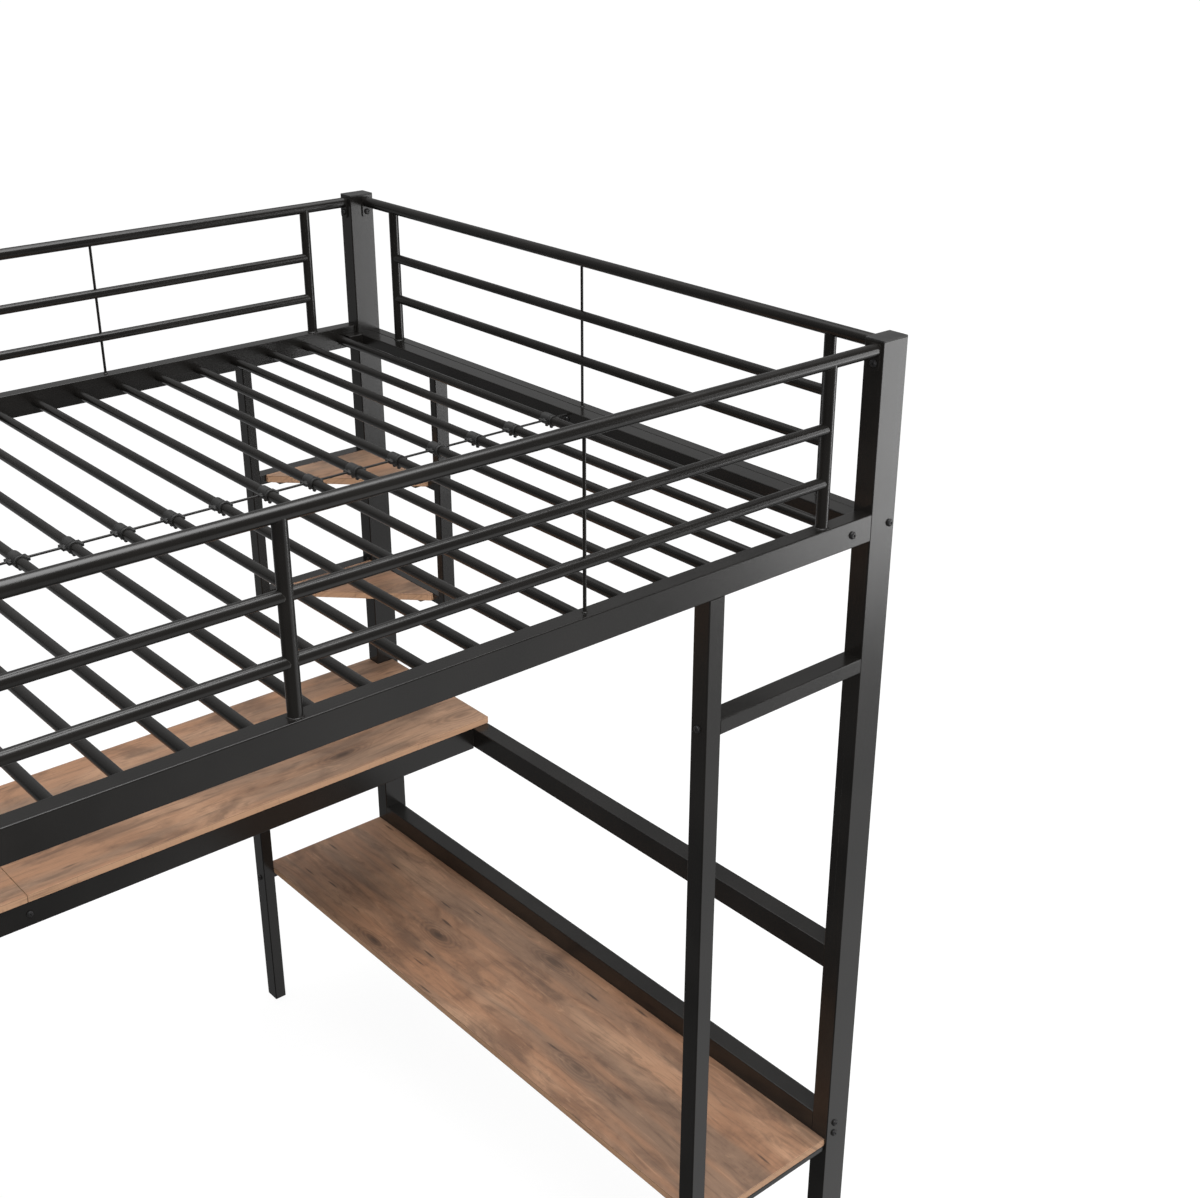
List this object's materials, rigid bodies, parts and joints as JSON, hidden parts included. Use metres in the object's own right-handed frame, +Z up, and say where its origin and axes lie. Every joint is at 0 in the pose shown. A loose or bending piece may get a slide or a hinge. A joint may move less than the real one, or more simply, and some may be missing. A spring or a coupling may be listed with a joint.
{
  "type": "loft bed with desk",
  "caption": "Black tubular steel loft bed with safety guards, a built-in ladder, a full-width desk beneath, a low side shelf and small corner shelves.",
  "frame": {"origin": "on the floor under the middle of the bed, centred between the posts both ways", "axes": "+X along the bed to the end with the low shelf, +Y from the ladder side to the desk side at the back, +Z up"},
  "size_m": [2.084, 1.445, 1.824],
  "materials": {
    "black_powder_coat": "satin black powder coat on steel tube, fine orange-peel, worn slightly at edges",
    "desk_laminate": "rustic brown wood-grain laminate, matte, darker knots and streaks",
    "shelf_laminate": "rustic brown wood-grain laminate, grain along the shelf",
    "corner_laminate": "rustic brown wood-grain laminate, reddish",
    "black_plastic": "moulded black plastic, fine texture",
    "black_hardware": "black oxide button-head bolts with hexagon sockets",
    "link_rod": "thin bright-dark steel rod"
  },
  "bodies": {
    "root": {"back_leg_right": "black_powder_coat", "corner_blocks": "black_powder_coat", "corner_lugs": "black_powder_coat", "corner_rail_lower_back": "black_powder_coat", "corner_rail_lower_end": "black_powder_coat", "corner_rail_upper_back": "black_powder_coat", "corner_rail_upper_end": "black_powder_coat", "corner_screws": "black_hardware", "corner_shelf_lower": "corner_laminate", "corner_shelf_upper": "corner_laminate", "desk_back_beam": "black_powder_coat", "desk_board_left": "desk_laminate", "desk_board_right": "desk_laminate", "desk_front_beam": "black_powder_coat", "desk_middle_bearer": "black_powder_coat", "end_beam_left": "black_powder_coat", "end_beam_right": "black_powder_coat", "foot_caps": "black_plastic", "frame_bolts": "black_hardware", "front_brace_right": "black_powder_coat", "front_leg_right": "black_powder_coat", "guard_back_lower_tubes": "black_powder_coat", "guard_back_top_tube": "black_powder_coat", "guard_back_uprights": "black_powder_coat", "guard_front_lower_tubes": "black_powder_coat", "guard_front_top_tube": "black_powder_coat", "guard_front_uprights": "black_powder_coat", "guard_left_lower_tubes": "black_powder_coat", "guard_left_top_tube": "black_powder_coat", "guard_left_uprights": "black_powder_coat", "guard_right_lower_tubes": "black_powder_coat", "guard_right_top_tube": "black_powder_coat", "guard_right_uprights": "black_powder_coat", "guard_tabs": "black_powder_coat", "hanger_back": "black_powder_coat", "hanger_end": "black_powder_coat", "ladder_rungs": "black_powder_coat", "ladder_stile": "black_powder_coat", "low_beam_left": "black_powder_coat", "low_beam_right": "black_powder_coat", "low_shelf_bearer_back": "black_powder_coat", "low_shelf_bearer_front": "black_powder_coat", "low_shelf_board": "shelf_laminate", "middle_beam_left": "black_powder_coat", "middle_beam_right": "black_powder_coat", "post_back_left": "black_powder_coat", "post_back_right": "black_powder_coat", "post_caps": "black_plastic", "post_front_left": "black_powder_coat", "post_front_right": "black_powder_coat", "side_rail_back": "black_powder_coat", "side_rail_front": "black_powder_coat", "slat_clips": "black_plastic", "slat_frame_end_left": "black_powder_coat", "slat_frame_end_right": "black_powder_coat", "slat_links": "link_rod", "slats": "black_powder_coat", "tube_plugs": "black_plastic"}
  },
  "joints": []
}
